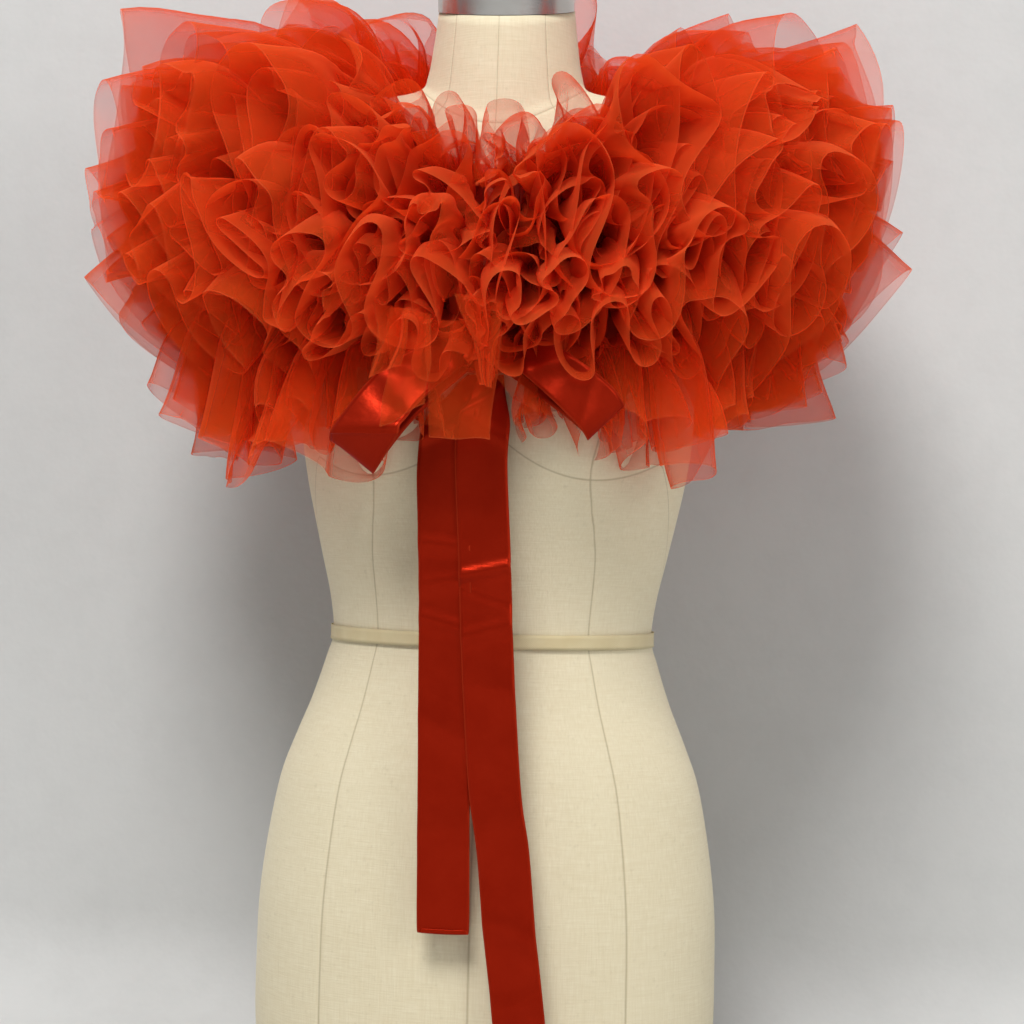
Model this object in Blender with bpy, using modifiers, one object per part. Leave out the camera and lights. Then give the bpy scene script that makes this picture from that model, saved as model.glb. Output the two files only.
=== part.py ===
"""A tulle bolero with satin ribbon ties, worn on a limbless dress form.

The bolero is a yoke in three panels that lies round the neck and shoulders, with six
rows of gathered tulle sewn on it. Each row is a strip in two halves, which run from the
front opening over the shoulder to the centre back. The fronts are tied with a satin bow.
Metres, +Z up. The front faces -Y and the wearer's left is +X. The origin is the centre
of the flat board under the dress form.
"""

import math
from collections import namedtuple

import bmesh
import bpy
from mathutils import Vector

for leftover in list(bpy.data.objects):
    bpy.data.objects.remove(leftover, do_unlink=True)

# Walls, seams and how finely each piece is drawn
SEAM_GAP = 0.0004
SHOULDER_SEAM_ANGLE = 0.0025
YOKE_WALL = 0.0015
YOKE_CLEARANCE = 0.0006
TULLE_WALL = 0.0020
SATIN_WALL = 0.0010
TAPE_WALL = 0.0010
HEADING_STANDOFF = 0.0013
STEPS_PER_WAVE = 5
FLARE_STEPS = 2
ROUND_STEPS = 48
TIE_STEPS = 2
HARD_EDGE = math.radians(50)
SMALL_TURN = 0.001

# The dress form's bust, waist tape and neck cap
BUST_APART = 0.083
BUST_HEIGHT = 0.530
BUST_FULLNESS = 0.034
BUST_WIDE = 0.044
BUST_TALL = 0.046
WAIST_HEIGHT = 0.376
TAPE_WIDTH = 0.011
CAP_HEIGHT = 0.024
CAP_BEVEL = 0.002

# The bolero's opening and its ties
OPENING_HALF = 0.0045
BACK_SEAM_HALF = 0.0008
TIE_OPENING_HALF = 0.0280
RIBBON_WIDTH = 0.038
KNOT_CENTRE = Vector((0.004, -0.1214, 0.583))
KNOT_SIZE = Vector((0.026, 0.020, 0.028))

Ring = namedtuple("Ring", "half_width front back z_front z_side z_back")
Level = namedtuple("Level", "z half_width front back")
YokeRing = namedtuple("YokeRing", "ring hang")
Row = namedtuple("Row", "name waves lift reach wave sag")
Spread = namedtuple("Spread", "front side back")

# The dress form from its base board to the bust, level by level
BODY_LEVELS = (
    Level(z=0.000, half_width=0.1660, front=0.0990, back=0.1110),
    Level(z=0.030, half_width=0.1740, front=0.1040, back=0.1155),
    Level(z=0.076, half_width=0.1786, front=0.1070, back=0.1180),
    Level(z=0.125, half_width=0.1788, front=0.1080, back=0.1180),
    Level(z=0.170, half_width=0.1775, front=0.1075, back=0.1160),
    Level(z=0.216, half_width=0.1720, front=0.1050, back=0.1120),
    Level(z=0.263, half_width=0.1630, front=0.1010, back=0.1050),
    Level(z=0.294, half_width=0.1520, front=0.0970, back=0.0990),
    Level(z=0.325, half_width=0.1395, front=0.0920, back=0.0930),
    Level(z=0.357, half_width=0.1290, front=0.0880, back=0.0870),
    Level(z=WAIST_HEIGHT, half_width=0.1240, front=0.0865, back=0.0850),
    Level(z=0.404, half_width=0.1270, front=0.0880, back=0.0860),
    Level(z=0.435, half_width=0.1340, front=0.0920, back=0.0890),
    Level(z=0.466, half_width=0.1410, front=0.0960, back=0.0930),
    Level(z=0.497, half_width=0.1475, front=0.1000, back=0.0980),
    Level(z=0.530, half_width=0.1520, front=0.1030, back=0.1030),
)
CHEST = Ring(0.1540, 0.1050, 0.1085, 0.552, 0.585, 0.580)

# The yoke's lines from hem to neckline. Each lies on the form, or hangs clear of its
# side by the hang, as below the shoulder ends. The six between are the rows' headings.
YOKE_RINGS = (
    YokeRing(Ring(0.2000, 0.1070, 0.1150, 0.572, 0.636, 0.625), hang=0.0420),
    YokeRing(Ring(0.2000, 0.1070, 0.1140, 0.583, 0.652, 0.640), hang=0.0400),
    YokeRing(Ring(0.1970, 0.1055, 0.1120, 0.618, 0.692, 0.672), hang=0.0300),
    YokeRing(Ring(0.1900, 0.1030, 0.1090, 0.641, 0.728, 0.707), hang=0.0080),
    YokeRing(Ring(0.1720, 0.0990, 0.1040, 0.665, 0.759, 0.740), hang=0.0),
    YokeRing(Ring(0.1380, 0.0920, 0.0960, 0.691, 0.777, 0.772), hang=0.0),
    YokeRing(Ring(0.1000, 0.0840, 0.0830, 0.718, 0.789, 0.800), hang=0.0),
    YokeRing(Ring(0.0920, 0.0780, 0.0780, 0.728, 0.793, 0.806), hang=0.0),
)
FIRST_HEADING = 1

NECK_RINGS = (
    Ring(0.0660, 0.0660, 0.0620, 0.763, 0.799, 0.815),
    Ring(0.0600, 0.0615, 0.0560, 0.775, 0.811, 0.828),
    Ring(0.0565, 0.0590, 0.0515, 0.803, 0.832, 0.852),
)
NECK_TOP = Ring(0.0530, 0.0570, 0.0460, 0.845, 0.8622, 0.876)

# The rows of tulle from the hem up. Lift is the strip's angle above level in degrees,
# reach its width, wave the half height of its ruffle at the edge, each at the front,
# side and back. Waves counts those in one half.
ROWS = (
    Row("ruffle_6", 17, Spread(-60, -78, -75), Spread(0.062, 0.113, 0.110),
        Spread(0.007, 0.019, 0.022), sag=0.000),
    Row("ruffle_5", 16, Spread(-30, -50, -43), Spread(0.085, 0.108, 0.110),
        Spread(0.013, 0.025, 0.026), sag=0.003),
    Row("ruffle_4", 15, Spread(-10, -14, -10), Spread(0.090, 0.135, 0.125),
        Spread(0.016, 0.028, 0.028), sag=0.006),
    Row("ruffle_3", 14, Spread(0, 9, 18), Spread(0.085, 0.134, 0.130),
        Spread(0.016, 0.028, 0.028), sag=0.008),
    Row("ruffle_2", 13, Spread(8, 24, 45), Spread(0.075, 0.162, 0.120),
        Spread(0.015, 0.027, 0.026), sag=0.010),
    Row("ruffle_1", 12, Spread(22, 46, 74), Spread(0.060, 0.120, 0.078),
        Spread(0.014, 0.024, 0.017), sag=0.004),
)
SIDES = (("left", 1), ("right", -1))
SIDE_PHASE = 0.9
FITTING_STEPS, FITTING_OUT = 240, 0.6

TiePoint = namedtuple("TiePoint", "x y z half_width")
# Where each hanging tie's middle runs, from the knot over the bust and straight down
SHORT_TIE = (
    TiePoint(-0.0010, -0.1190, 0.5704, 0.0085),
    TiePoint(-0.0100, -0.1240, 0.5550, 0.0130),
    TiePoint(-0.0200, -0.1290, 0.5350, 0.0190),
    TiePoint(-0.0245, -0.1300, 0.5050, 0.0190),
    TiePoint(-0.0230, -0.1300, 0.4600, 0.0190),
    TiePoint(-0.0210, -0.1295, 0.4100, 0.0190),
    TiePoint(-0.0200, -0.1290, 0.3500, 0.0190),
    TiePoint(-0.0190, -0.1285, 0.2900, 0.0190),
    TiePoint(-0.0180, -0.1280, 0.2300, 0.0190),
    TiePoint(-0.0170, -0.1275, 0.1700, 0.0190),
)
LONG_TIE = (
    TiePoint(0.0080, -0.1208, 0.5704, 0.0085),
    TiePoint(0.0060, -0.1258, 0.5550, 0.0130),
    TiePoint(0.0040, -0.1308, 0.5350, 0.0190),
    TiePoint(0.0030, -0.1318, 0.5050, 0.0190),
    TiePoint(0.0070, -0.1318, 0.4400, 0.0190),
    TiePoint(0.0100, -0.1312, 0.3810, 0.0190),
    TiePoint(0.0150, -0.1308, 0.3100, 0.0190),
    TiePoint(0.0190, -0.1305, 0.2670, 0.0190),
    TiePoint(0.0250, -0.1302, 0.2310, 0.0190),
    TiePoint(0.0310, -0.1298, 0.1730, 0.0190),
    TiePoint(0.0380, -0.1294, 0.1200, 0.0190),
    TiePoint(0.0430, -0.1290, 0.0750, 0.0190),
)

Loop = namedtuple("Loop", "name root_x end_x end_z")
# The bow's loops, from the knot's sides to where each folds over
LOOPS = (
    Loop("bow_loop_left", root_x=0.0158, end_x=0.0880, end_z=0.532),
    Loop("bow_loop_right", root_x=-0.0090, end_x=-0.0920, end_z=0.508),
)
LOOP_STEPS = 6
LOOP_ROOT_HEIGHT = 0.580
LOOP_GATHER, LOOP_SPREAD_RATE = 0.45, 2.2
LOOP_CLEAR_AT_ROOT, LOOP_CLEAR_AT_END = 0.0050, 0.0200
LOOP_LAYERS_APART, LOOP_PUFF = 0.0020, 0.0085
LOOP_PUFF_FROM, LOOP_PUFF_OVER = 0.12, 0.70
LOOP_REST_SHARE = 0.85

collection = bpy.data.collections.new("tulle_bolero")
bpy.context.scene.collection.children.link(collection)


def material(name, colour, roughness, metallic=0.0):
    made = bpy.data.materials.new(name)
    made.use_nodes = True
    shader = made.node_tree.nodes["Principled BSDF"]
    shader.inputs["Base Color"].default_value = (*colour, 1.0)
    shader.inputs["Roughness"].default_value = roughness
    shader.inputs["Metallic"].default_value = metallic
    return made


TULLE = material("tulle", (0.62, 0.085, 0.022), 0.70)
NET = material("yoke net", (0.50, 0.050, 0.016), 0.75)
SATIN = material("satin ribbon", (0.42, 0.030, 0.008), 0.32)
LINEN = material("linen", (0.72, 0.62, 0.42), 0.85)
TWILL = material("twill tape", (0.78, 0.68, 0.42), 0.80)
STEEL = material("neck cap steel", (0.62, 0.61, 0.60), 0.22, 1.0)


def place(name, mesh, finish):
    """A new object in the bolero's collection, shaded smooth but for its hard edges."""
    obj = bpy.data.objects.new(name, mesh)
    collection.objects.link(obj)
    mesh.materials.append(finish)
    mesh.shade_smooth()
    mesh.set_sharp_from_angle(angle=HARD_EDGE)
    return obj


def sheet(name, grid, finish, closed_round=False):
    """An open surface through a grid of points, row by row."""
    shape = bmesh.new()
    rows = [[shape.verts.new(point) for point in line] for line in grid]
    across = len(rows[0])
    for upper, lower in zip(rows, rows[1:]):
        for i in range(across if closed_round else across - 1):
            j = (i + 1) % across
            shape.faces.new((upper[i], upper[j], lower[j], lower[i]))
    mesh = bpy.data.meshes.new(name)
    shape.to_mesh(mesh)
    shape.free()
    return place(name, mesh, finish)


def thicken(obj, wall):
    """Cloth as a closed wall, half of it on each side of the sheet."""
    solidify = obj.modifiers.new("wall", "SOLIDIFY")
    solidify.thickness = wall
    solidify.offset = 0.0
    return obj


def mixed(spread, angle):
    """A value of the front, side and back, blended round the body."""
    along = math.cos(angle)
    to_front, to_back = max(along, 0.0) ** 2, max(-along, 0.0) ** 2
    return (
        spread.front * to_front
        + spread.back * to_back
        + spread.side * (1 - to_front - to_back)
    )


def bust_at(x, z):
    """How far the bust stands forward at a place on the front."""
    tall = math.exp(-(((z - BUST_HEIGHT) / BUST_TALL) ** 2) / 2)
    wide = math.exp(-(((abs(x) - BUST_APART) / BUST_WIDE) ** 2) / 2)
    return BUST_FULLNESS * tall * wide


def ring_point(ring, angle):
    """A point of a ring. The angle runs from the centre front towards the left."""
    along = math.cos(angle)
    x = ring.half_width * math.sin(angle)
    z = mixed(Spread(ring.z_front, ring.z_side, ring.z_back), angle)
    y = -(ring.front if along > 0 else ring.back) * along
    return Vector((x, y - bust_at(x, z) * max(along, 0.0) ** 2, z))


def outward(below, above, angle):
    """The surface's outward normal between two rings."""
    a, b = angle - SMALL_TURN, angle + SMALL_TURN
    along_below = ring_point(below, b) - ring_point(below, a)
    along_above = ring_point(above, b) - ring_point(above, a)
    upward = ring_point(above, angle) - ring_point(below, angle)
    return (along_below + along_above).cross(upward).normalized()


def yoke_point(line, angle, clearance):
    """A point of a yoke line, moved out of the form's surface by the clearance."""
    below, above = max(line - 1, 0), min(line + 1, len(YOKE_RINGS) - 1)
    normal = outward(YOKE_RINGS[below].ring, YOKE_RINGS[above].ring, angle)
    return ring_point(YOKE_RINGS[line].ring, angle) + normal * clearance


def form_rings():
    """Every ring of the dress form, from the base board to the top of the neck."""
    body = [Ring(v.half_width, v.front, v.back, v.z, v.z, v.z) for v in BODY_LEVELS]
    shoulders = [
        r.ring._replace(half_width=r.ring.half_width - r.hang) for r in YOKE_RINGS
    ]
    return [*body, CHEST, *shoulders, *NECK_RINGS]


def neck_top_point(angle):
    """A point of the neck's top edge, which is cut off flat and slants forward."""
    point = ring_point(NECK_TOP, angle)
    share = (point.y + NECK_TOP.front) / (NECK_TOP.front + NECK_TOP.back)
    point.z = NECK_TOP.z_front + (NECK_TOP.z_back - NECK_TOP.z_front) * share
    return point


def round_angles():
    return [2 * math.pi * i / ROUND_STEPS for i in range(ROUND_STEPS)]


def make_form():
    """The padded torso and neck, closed by a flat board below and a flat top."""
    grid = [[ring_point(ring, a) for a in round_angles()] for ring in form_rings()]
    grid.append([neck_top_point(a) for a in round_angles()])
    obj = sheet("form_body", grid, LINEN, closed_round=True)
    shape = bmesh.new()
    shape.from_mesh(obj.data)
    bmesh.ops.holes_fill(shape, edges=[e for e in shape.edges if e.is_boundary])
    bmesh.ops.recalc_face_normals(shape, faces=shape.faces)
    shape.to_mesh(obj.data)
    shape.free()


def form_surface(z, angle):
    """A point of the body between two of its levels."""
    for low, high in zip(BODY_LEVELS, BODY_LEVELS[1:]):
        if low.z <= z <= high.z:
            share = (z - low.z) / (high.z - low.z)
            between = [a + (b - a) * share for a, b in zip(low, high)]
            level = Level(*between)
            ring = Ring(level.half_width, level.front, level.back, z, z, z)
            return ring_point(ring, angle)
    raise ValueError("that height isn't on the body")


def make_waist_tape():
    """A narrow twill tape, pinned round the waist."""
    stand = SEAM_GAP + TAPE_WALL / 2
    grid = []
    for up in (-TAPE_WIDTH / 2, 0.0, TAPE_WIDTH / 2):
        line = []
        for angle in round_angles():
            flat = Vector((math.sin(angle), -math.cos(angle), 0.0))
            line.append(form_surface(WAIST_HEIGHT + up, angle) + flat * stand)
        grid.append(line)
    thicken(sheet("form_waist_tape", grid, TWILL, closed_round=True), TAPE_WALL)


def make_neck_cap():
    """The polished steel cap on the neck, square to the neck's slanting top."""
    top = NECK_TOP
    middle_y = (top.back - top.front) / 2
    tilt = math.atan2(top.z_back - top.z_front, top.front + top.back)
    shape = bmesh.new()
    bmesh.ops.create_cone(
        shape, cap_ends=True, segments=ROUND_STEPS,
        radius1=top.half_width, radius2=top.half_width, depth=CAP_HEIGHT,
    )
    rim = [e for e in shape.edges if min(v.co.z for v in e.verts) > 0]
    bmesh.ops.bevel(shape, geom=rim, offset=CAP_BEVEL, segments=2, affect="EDGES")
    mesh = bpy.data.meshes.new("form_neck_cap")
    shape.to_mesh(mesh)
    shape.free()
    cap = place("form_neck_cap", mesh, STEEL)
    cap.rotation_euler = (tilt, 0.0, 0.0)
    axis = Vector((0.0, -math.sin(tilt), math.cos(tilt)))
    seat = Vector((0.0, middle_y, (top.z_front + top.z_back) / 2))
    cap.location = seat + axis * (CAP_HEIGHT / 2 + SEAM_GAP)


def make_yoke():
    """The three net panels under the rows, with seams on the shoulders."""
    middle = YOKE_CLEARANCE + YOKE_WALL / 2
    step = 2 * math.pi / ROUND_STEPS
    quarter = ROUND_STEPS // 4
    seam = SHOULDER_SEAM_ANGLE
    edge = OPENING_HALF / YOKE_RINGS[0].ring.half_width
    front = [edge] + [step * i for i in range(1, quarter)] + [math.pi / 2 - seam]
    back = [math.pi / 2 + seam] + [step * i for i in range(quarter + 1, 3 * quarter)]
    back.append(3 * math.pi / 2 - seam)
    panels = (
        ("yoke_front_left", front),
        ("yoke_front_right", [-a for a in reversed(front)]),
        ("yoke_back", back),
    )
    for name, angles in panels:
        grid = [
            [yoke_point(line, a, middle) for a in angles]
            for line in range(len(YOKE_RINGS))
        ]
        thicken(sheet(name, grid, NET), YOKE_WALL)


def flare(row, line, angle, out):
    """A point of a strip before it ruffles, and the way its ruffle stands.

    Out is 0 at the heading and 1 at the free edge.
    """
    lift = math.radians(mixed(row.lift, angle))
    ring = YOKE_RINGS[line].ring
    depth = ring.front if math.cos(angle) > 0 else ring.back
    level = Vector((math.sin(angle) * depth, -math.cos(angle) * ring.half_width, 0.0))
    level.normalize()
    up = Vector((0.0, 0.0, 1.0))
    along = level * math.cos(lift) + up * math.sin(lift)
    across = up * math.cos(lift) - level * math.sin(lift)
    clearance = YOKE_CLEARANCE + YOKE_WALL + HEADING_STANDOFF
    heading = yoke_point(line, angle, clearance)
    reach = mixed(row.reach, angle)
    return heading + along * reach * out - up * row.sag * out**2, across


def evenly_round(row, line, start, end, count):
    """Angles that divide a strip into equal lengths, measured part way out."""
    fine = FITTING_STEPS
    angles = [start + (end - start) * i / fine for i in range(fine + 1)]
    points = [flare(row, line, a, FITTING_OUT)[0] for a in angles]
    lengths = [0.0]
    for a, b in zip(points, points[1:]):
        lengths.append(lengths[-1] + (b - a).length)
    found, i = [], 0
    for k in range(count + 1):
        wanted = lengths[-1] * k / count
        while i < fine - 1 and lengths[i + 1] < wanted:
            i += 1
        share = (wanted - lengths[i]) / (lengths[i + 1] - lengths[i])
        found.append(angles[i] + (angles[i + 1] - angles[i]) * share)
    return found


def make_ruffles():
    """Six gathered strips in two halves. Their folds open from heading to edge."""
    for i, row in enumerate(ROWS):
        line = FIRST_HEADING + i
        width = YOKE_RINGS[line].ring.half_width
        opening = TIE_OPENING_HALF if line == FIRST_HEADING else OPENING_HALF
        start, end = opening / width, math.pi - BACK_SEAM_HALF / width
        count = row.waves * STEPS_PER_WAVE
        angles = evenly_round(row, line, start, end, count)
        for side, sign in SIDES:
            grid = []
            for k in range(FLARE_STEPS + 1):
                out = k / FLARE_STEPS
                points = []
                for n, angle in enumerate(angles):
                    turn = 2 * math.pi * n / STEPS_PER_WAVE + sign * SIDE_PHASE + i
                    point, across = flare(row, line, angle, out)
                    point += across * mixed(row.wave, angle) * out * math.sin(turn)
                    points.append(Vector((sign * point.x, point.y, point.z)))
                grid.append(points[::sign])
            thicken(sheet(f"{row.name}_{side}", grid, TULLE), TULLE_WALL)


def smooth_route(points, steps):
    """Points on a smooth curve through those given, evenly spread between each two."""
    ends = [2 * points[0] - points[1], *points, 2 * points[-1] - points[-2]]
    route = []
    for a, b, c, d in zip(ends, ends[1:], ends[2:], ends[3:]):
        for i in range(steps):
            t = i / steps
            route.append(
                (2 * b + (c - a) * t + (2 * a - 5 * b + 4 * c - d) * t**2
                 + (3 * b - a - 3 * c + d) * t**3) / 2
            )
    return [*route, points[-1]]


def ribbon(name, middles, widths):
    """A satin strip along its middle line. Widths gives half its width and its way."""
    grid = [[m - w, m + w] for m, w in zip(middles, widths)]
    return thicken(sheet(name, grid, SATIN), SATIN_WALL)


def make_tails():
    """The two free ends of the tie, hanging straight from the bust."""
    for name, table in (("tie_tail_short", SHORT_TIE), ("tie_tail_long", LONG_TIE)):
        route = smooth_route([Vector((t.x, t.y, t.z)) for t in table], TIE_STEPS)
        halves = [Vector((t.half_width, 0.0, 0.0)) for t in table]
        halves = smooth_route(halves, TIE_STEPS)
        ribbon(name, route, halves)


def over_lowest_row(x, z):
    """The y of the lowest row's mean surface at the front, and of its edge below that."""
    row, heading_line = ROWS[0], FIRST_HEADING
    angle = math.asin(x / YOKE_RINGS[heading_line].ring.half_width)
    heading = yoke_point(heading_line, angle, YOKE_CLEARANCE + YOKE_WALL)
    drop = min(max(heading.z - z, 0.0), row.reach.front * LOOP_REST_SHARE)
    return heading.y - drop / math.tan(math.radians(-row.lift.front))


def loop_strip(loop, share, puff):
    """The ribbon's middle and half its width, this share of the way along the loop."""
    root = Vector((loop.root_x, 0.0, LOOP_ROOT_HEIGHT))
    end = Vector((loop.end_x, 0.0, loop.end_z))
    way = (end - root).normalized()
    gather = LOOP_GATHER + (1 - LOOP_GATHER) * min(1.0, share * LOOP_SPREAD_RATE)
    half = Vector((-way.z, 0.0, way.x)) * RIBBON_WIDTH / 2 * gather
    clear = LOOP_CLEAR_AT_ROOT + (LOOP_CLEAR_AT_END - LOOP_CLEAR_AT_ROOT) * share
    low, high = root.lerp(end, share) - half, root.lerp(end, share) + half
    low.y = over_lowest_row(low.x, low.z) - clear - puff
    high.y = over_lowest_row(high.x, high.z) - clear - puff
    return (low + high) / 2, (high - low) / 2


def make_loops():
    """The bow's two loops. Each runs out, folds over at its end and comes back."""
    for loop in LOOPS:
        upper = []
        for i in range(LOOP_STEPS + 1):
            share = i / LOOP_STEPS
            arch = math.sin(math.pi * (LOOP_PUFF_FROM + LOOP_PUFF_OVER * share))
            upper.append(loop_strip(loop, share, LOOP_LAYERS_APART + LOOP_PUFF * arch))
        lower = [loop_strip(loop, i / LOOP_STEPS, 0.0) for i in range(LOOP_STEPS + 1)]
        way = (upper[-1][0] - upper[-2][0]).normalized()
        fold = (upper[-1][0] + lower[-1][0]) / 2 + way * LOOP_PUFF / 2
        strip = [*upper, (fold, upper[-1][1]), *reversed(lower)]
        ribbon(loop.name, [middle for middle, _ in strip], [half for _, half in strip])


def make_knot():
    """The bow's knot, a soft wrap of ribbon between the loops."""
    shape = bmesh.new()
    bmesh.ops.create_cube(shape, size=1.0)
    for vert in shape.verts:
        vert.co = Vector(vert.co[i] * KNOT_SIZE[i] for i in range(3))
    mesh = bpy.data.meshes.new("bow_knot")
    shape.to_mesh(mesh)
    shape.free()
    knot = place("bow_knot", mesh, SATIN)
    knot.location = KNOT_CENTRE
    soft = knot.modifiers.new("soft", "SUBSURF")
    soft.levels = soft.render_levels = 2


make_form()
make_waist_tape()
make_neck_cap()
make_yoke()
make_ruffles()
make_tails()
make_loops()
make_knot()
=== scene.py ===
"""The looks of a tulle bolero with a satin tie, worn on a limbless dress form.

Metres, +Z up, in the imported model's frame: the front faces -Y and the wearer's left is
+X. Pieces follow in the order in which they are put together, from the form outwards.
"""

import math

import bpy
import numpy as np
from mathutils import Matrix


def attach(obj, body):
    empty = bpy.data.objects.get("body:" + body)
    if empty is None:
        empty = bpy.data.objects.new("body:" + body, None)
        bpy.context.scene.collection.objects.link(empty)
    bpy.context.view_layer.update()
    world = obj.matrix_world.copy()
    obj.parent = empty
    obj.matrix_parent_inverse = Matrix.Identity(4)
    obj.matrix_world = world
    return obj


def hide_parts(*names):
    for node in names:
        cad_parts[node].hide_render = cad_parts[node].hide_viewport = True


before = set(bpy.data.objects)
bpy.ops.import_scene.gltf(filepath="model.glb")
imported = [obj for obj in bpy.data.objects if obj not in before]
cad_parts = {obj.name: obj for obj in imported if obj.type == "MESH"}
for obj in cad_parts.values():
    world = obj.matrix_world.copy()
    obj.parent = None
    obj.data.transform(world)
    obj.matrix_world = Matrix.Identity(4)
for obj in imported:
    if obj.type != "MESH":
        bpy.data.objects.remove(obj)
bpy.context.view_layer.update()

# The dress form's body: papier-mache padded smooth and covered in plain linen, cut in
# panels and sewn along the bust's princess lines, under the bust, round the neck's base
# and at the centre. It stands on a flat board.

# height, half width, front depth, back depth
BODY_LEVELS = np.array([
    (0.000, 0.1660, 0.0990, 0.1110),
    (0.030, 0.1740, 0.1040, 0.1155),
    (0.076, 0.1786, 0.1070, 0.1180),
    (0.125, 0.1788, 0.1080, 0.1180),
    (0.170, 0.1775, 0.1075, 0.1160),
    (0.216, 0.1720, 0.1050, 0.1120),
    (0.263, 0.1630, 0.1010, 0.1050),
    (0.294, 0.1520, 0.0970, 0.0990),
    (0.325, 0.1395, 0.0920, 0.0930),
    (0.357, 0.1290, 0.0880, 0.0870),
    (0.376, 0.1240, 0.0865, 0.0850),
    (0.404, 0.1270, 0.0880, 0.0860),
    (0.435, 0.1340, 0.0920, 0.0890),
    (0.466, 0.1410, 0.0960, 0.0930),
    (0.497, 0.1475, 0.1000, 0.0980),
    (0.530, 0.1520, 0.1030, 0.1030),
])
# half width, front depth, back depth, and the height in front, at the side and behind
CHEST_RING = (0.1540, 0.1050, 0.1085, 0.552, 0.585, 0.580)
YOKE_RINGS = np.array([
    (0.2000, 0.1070, 0.1150, 0.572, 0.636, 0.625),
    (0.2000, 0.1070, 0.1140, 0.583, 0.652, 0.640),
    (0.1970, 0.1055, 0.1120, 0.618, 0.692, 0.672),
    (0.1900, 0.1030, 0.1090, 0.641, 0.728, 0.707),
    (0.1720, 0.0990, 0.1040, 0.665, 0.759, 0.740),
    (0.1380, 0.0920, 0.0960, 0.691, 0.777, 0.772),
    (0.1000, 0.0840, 0.0830, 0.718, 0.789, 0.800),
    (0.0920, 0.0780, 0.0780, 0.728, 0.793, 0.806),
])
YOKE_HANG = np.array([0.042, 0.040, 0.030, 0.008, 0.0, 0.0, 0.0, 0.0])
NECK_RINGS = [
    (0.0660, 0.0660, 0.0620, 0.763, 0.799, 0.815),
    (0.0600, 0.0615, 0.0560, 0.775, 0.811, 0.828),
    (0.0565, 0.0590, 0.0515, 0.803, 0.832, 0.852),
    (0.0530, 0.0570, 0.0460, 0.845, 0.8622, 0.876),
]
BUST_APART, BUST_HEIGHT, BUST_FULLNESS = 0.083, 0.530, 0.034
BUST_WIDE, BUST_TALL = 0.044, 0.046
FORM_ROUND, FORM_BETWEEN_RINGS = 176, 5
# The princess seams, which draw in under the bust, and the curved seams below the cups
PRINCESS_ANGLE, PRINCESS_DRAWN_IN, BACK_PRINCESS_ANGLE = 0.69, 0.12, np.pi - 0.62
DRAWN_IN_HEIGHT, DRAWN_IN_TALL = 0.50, 0.05
CUP_SEAM_HEIGHT, CUP_SEAM_RISE, CUP_SEAM_X, CUP_SEAM_WIDE = 0.4965, 0.036, 0.082, 0.075
CUP_SEAM_END, NECK_RING_STEP = 1.05, 0.030


def round_body(front, side, back, angle):
    """A value of the front, side and back, blended round the body."""
    to_front = np.clip(np.cos(angle), 0, None) ** 2
    to_back = np.clip(-np.cos(angle), 0, None) ** 2
    return front * to_front + back * to_back + side * (1 - to_front - to_back)


def ring_points(ring, angle, flat_top=0.0):
    """Points of a ring. Angles run from the centre front towards the left."""
    half_width, front, back, z_front, z_side, z_back = ring
    along = np.cos(angle)
    x = half_width * np.sin(angle)
    y = -np.where(along > 0, front, back) * along
    z = round_body(z_front, z_side, z_back, angle)
    slanted = z_front + (z_back - z_front) * (y + front) / (front + back)
    z = z + (slanted - z) * flat_top
    tall = np.exp(-(((z - BUST_HEIGHT) / BUST_TALL) ** 2) / 2)
    wide = np.exp(-(((np.abs(x) - BUST_APART) / BUST_WIDE) ** 2) / 2)
    y = y - BUST_FULLNESS * tall * wide * np.clip(along, 0, None) ** 2
    return np.stack([x, y, z], axis=-1)


def between(table, places):
    """Rows between the rows of a table, on a smooth curve through them."""
    table = np.asarray(table, float)
    padded = np.vstack([2 * table[0] - table[1], table, 2 * table[-1] - table[-2]])
    low = np.clip(np.floor(places).astype(int), 0, len(table) - 2)
    t = (places - low)[:, None]
    a, b, c, d = (padded[low + i] for i in range(4))
    return (
        2 * b + (c - a) * t + (2 * a - 5 * b + 4 * c - d) * t**2
        + (3 * b - a - 3 * c + d) * t**3
    ) / 2


def grid_faces(rows, columns, closed=False):
    """The faces of a grid of points, row by row."""
    index = np.arange(rows * columns).reshape(rows, columns)
    if closed:
        index = np.hstack([index, index[:, :1]])
    corners = [index[:-1, :-1], index[:-1, 1:], index[1:, 1:], index[1:, :-1]]
    return np.stack([c.ravel() for c in corners], axis=1)


def new_piece(name, points, faces, materials, marks=None, uv=None):
    """A smooth mesh object with numbers marked on its points and a UV layer."""
    mesh = bpy.data.meshes.new(name)
    points = np.asarray(points, float).reshape(-1, 3)
    mesh.from_pydata(points.tolist(), [], [list(map(int, f)) for f in faces])
    mesh.shade_smooth()
    for mark, values in (marks or {}).items():
        attribute = mesh.attributes.new(mark, "FLOAT", "POINT")
        attribute.data.foreach_set("value", np.asarray(values, np.float32).ravel())
    if uv is not None:
        corner = np.empty(len(mesh.loops), np.int32)
        mesh.loops.foreach_get("vertex_index", corner)
        layer = mesh.uv_layers.new(name="cloth")
        laid = np.asarray(uv, np.float32).reshape(-1, 2)[corner]
        layer.data.foreach_set("uv", laid.ravel())
    for material in materials:
        mesh.materials.append(material)
    obj = bpy.data.objects.new(name, mesh)
    bpy.context.scene.collection.objects.link(obj)
    return obj


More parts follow.
